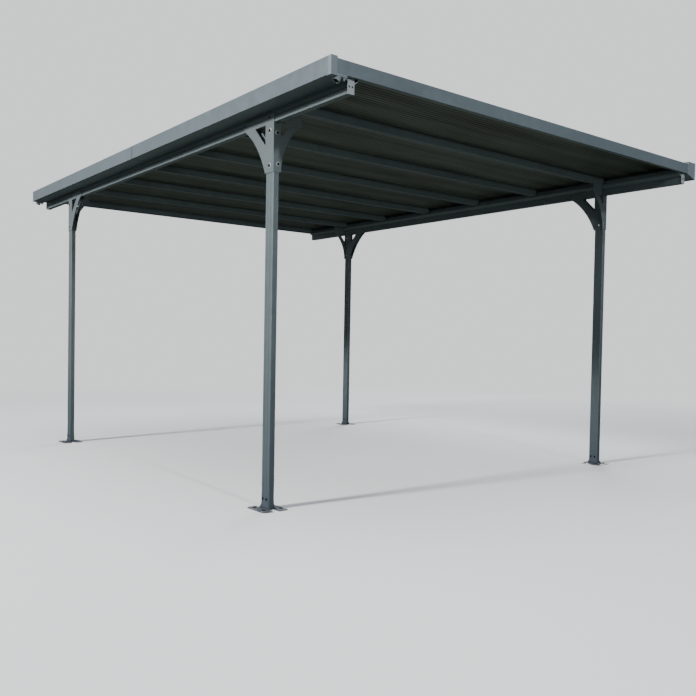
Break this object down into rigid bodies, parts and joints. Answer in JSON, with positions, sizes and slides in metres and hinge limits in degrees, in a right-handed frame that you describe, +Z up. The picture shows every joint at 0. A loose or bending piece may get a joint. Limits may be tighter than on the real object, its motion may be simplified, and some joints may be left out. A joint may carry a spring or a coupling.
{
  "type": "carport",
  "caption": "Free-standing flat-roofed carport: slim posts with curved head brackets, side beams, rafters, a side gutter and a tinted twin-wall sheet roof.",
  "frame": {"origin": "middle of the roof's outline, on the floor the feet stand on", "axes": "+X to the right seen from the front, away from the gutter; +Y to the rear, along the vehicle bay; +Z up"},
  "size_m": [3.15, 4.87, 2.258],
  "materials": {
    "frame": "powder coated, satin",
    "edge": "powder coated, satin",
    "bracket": "powder coated, satin",
    "foot": "powder coated, satin",
    "end_plate": "light grey, satin",
    "cap": "moulded, satin",
    "sheet": "smoky bronze twin-wall sheet"
  },
  "bodies": {
    "root": {"beam_end_left_front": "end_plate", "beam_end_left_rear": "end_plate", "beam_end_right_front": "end_plate", "beam_end_right_rear": "end_plate", "beam_left_front": "frame", "beam_left_rear": "frame", "beam_right_front": "frame", "beam_right_rear": "frame", "front_profile": "edge", "gutter_cap_front": "cap", "gutter_cap_rear": "cap", "gutter_front": "edge", "gutter_rear": "edge", "post_foot_front_left": "foot", "post_foot_front_right": "foot", "post_foot_rear_left": "foot", "post_foot_rear_right": "foot", "post_front_left": "frame", "post_front_right": "frame", "post_head_front_left": "bracket", "post_head_front_right": "bracket", "post_head_rear_left": "bracket", "post_head_rear_right": "bracket", "post_rear_left": "frame", "post_rear_right": "frame", "rafter_1": "frame", "rafter_2": "frame", "rafter_3": "frame", "rafter_4": "frame", "rafter_5": "frame", "rafter_6": "frame", "rear_profile": "edge", "right_profile_cap_front": "cap", "right_profile_cap_rear": "cap", "right_profile_front": "edge", "right_profile_rear": "edge", "roof_panel_1": "sheet", "roof_panel_2": "sheet", "roof_panel_3": "sheet", "roof_panel_4": "sheet", "roof_panel_5": "sheet", "roof_panel_6": "sheet", "roof_panel_7": "sheet"}
  },
  "joints": []
}
